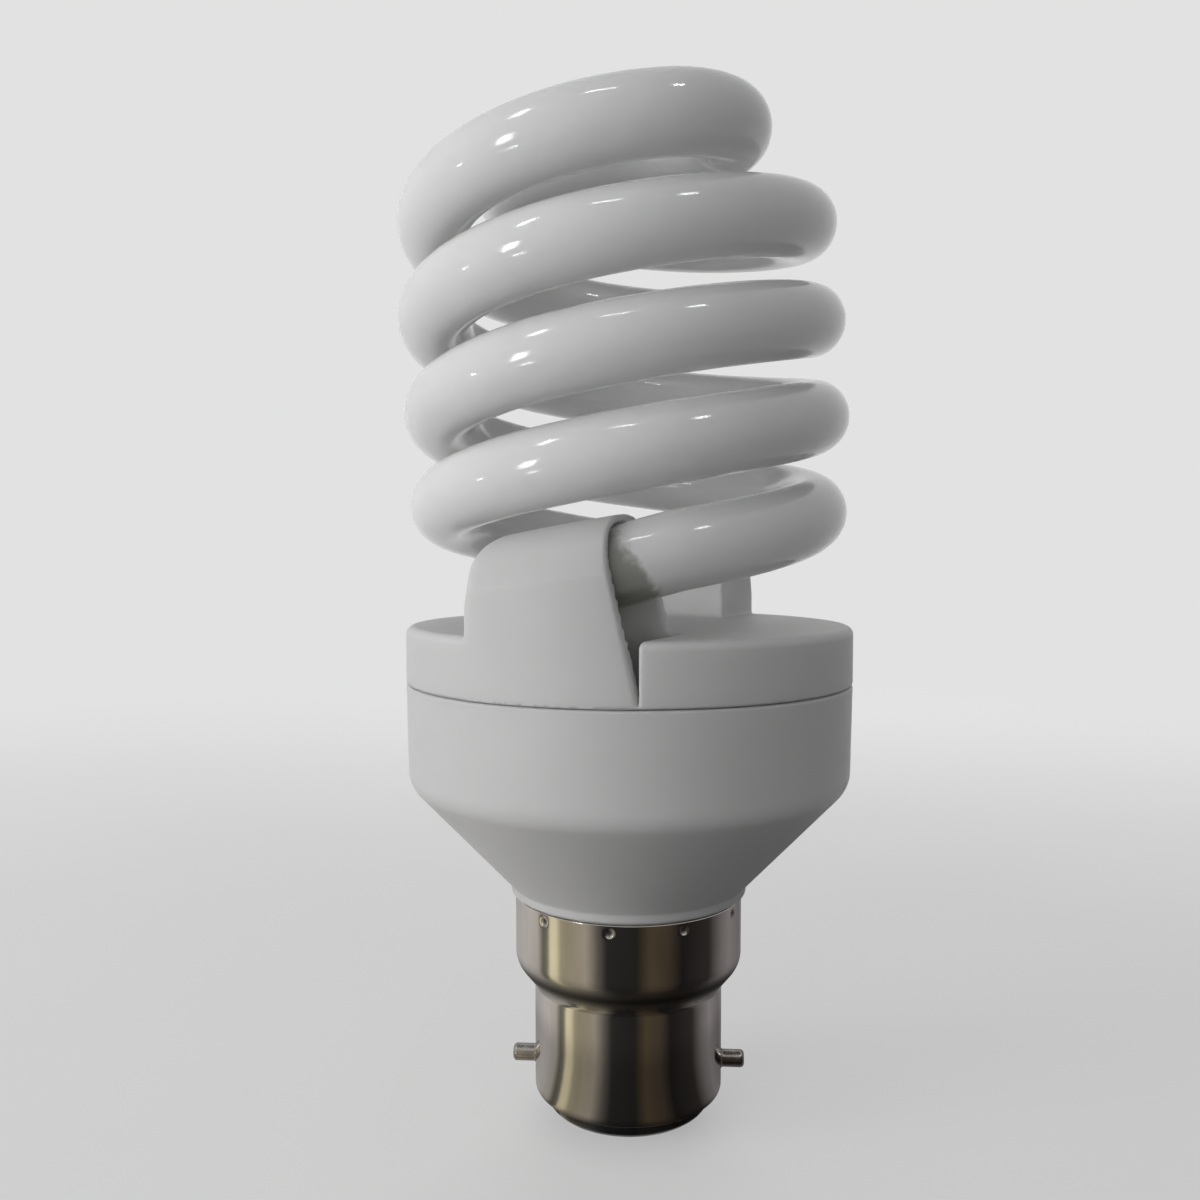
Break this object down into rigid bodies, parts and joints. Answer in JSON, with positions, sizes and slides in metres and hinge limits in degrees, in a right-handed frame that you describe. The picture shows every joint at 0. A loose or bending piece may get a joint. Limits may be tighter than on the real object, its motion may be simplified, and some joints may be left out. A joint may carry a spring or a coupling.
{
  "type": "compact fluorescent lamp",
  "caption": "Energy saving lamp: white glass tube bent as a double spiral on a round plastic ballast housing, with a bayonet cap that plugs into a lampholder.",
  "frame": {"origin": "where the lamp's axis crosses the axis of the two bayonet pins", "axes": "+Z along the lamp's axis from the cap to the spiral, +X along one bayonet pin"},
  "size_m": [0.0518, 0.0515, 0.1151],
  "materials": {
    "cap_metal": "nickel plated sheet metal, shiny",
    "pin_metal": "nickel plated brass, satin",
    "black_glass": "black glass, gloss",
    "solder": "tinned contact, satin",
    "tinned_wire": "tinned wire, satin",
    "white_plastic": "white moulded plastic, satin",
    "coated_glass": "white coated glass, gloss",
    "cement": "filler, matt",
    "board": "laminate, matt",
    "capacitor_sleeve": "shrink sleeve, satin",
    "ferrite": "ferrite, matt",
    "bobbin_plastic": "moulded plastic, matt",
    "copper_wire": "enamelled copper wire, gloss",
    "black_resin": "moulded resin, matt",
    "film_resin": "dipped resin, gloss",
    "resistor_lacquer": "lacquer, matt",
    "fuse_lacquer": "lacquer, matt",
    "diode_glass": "lacquered glass, gloss"
  },
  "bodies": {
    "root": {"cap_shell": "cap_metal", "bayonet_pins": "pin_metal", "cap_insulator": "black_glass", "contact_plates": "solder", "mains_leads": "tinned_wire", "ballast_housing": "white_plastic", "tube_holder_cover": "white_plastic", "discharge_tube": "coated_glass", "tube_cement": "cement", "filament_leads": "tinned_wire", "wire_posts": "tinned_wire", "circuit_board": "board", "electrolytic_capacitor": "capacitor_sleeve", "choke_core": "ferrite", "choke_bobbin": "bobbin_plastic", "choke_winding": "copper_wire", "ring_core": "ferrite", "ring_core_coils": "copper_wire", "transistors": "black_resin", "filter_choke_core": "ferrite", "filter_choke_winding": "copper_wire", "rectifier_diodes": "black_resin", "film_capacitors": "film_resin", "resistors": "resistor_lacquer", "fuse_resistor": "fuse_lacquer", "trigger_diode": "diode_glass"}
  },
  "joints": []
}
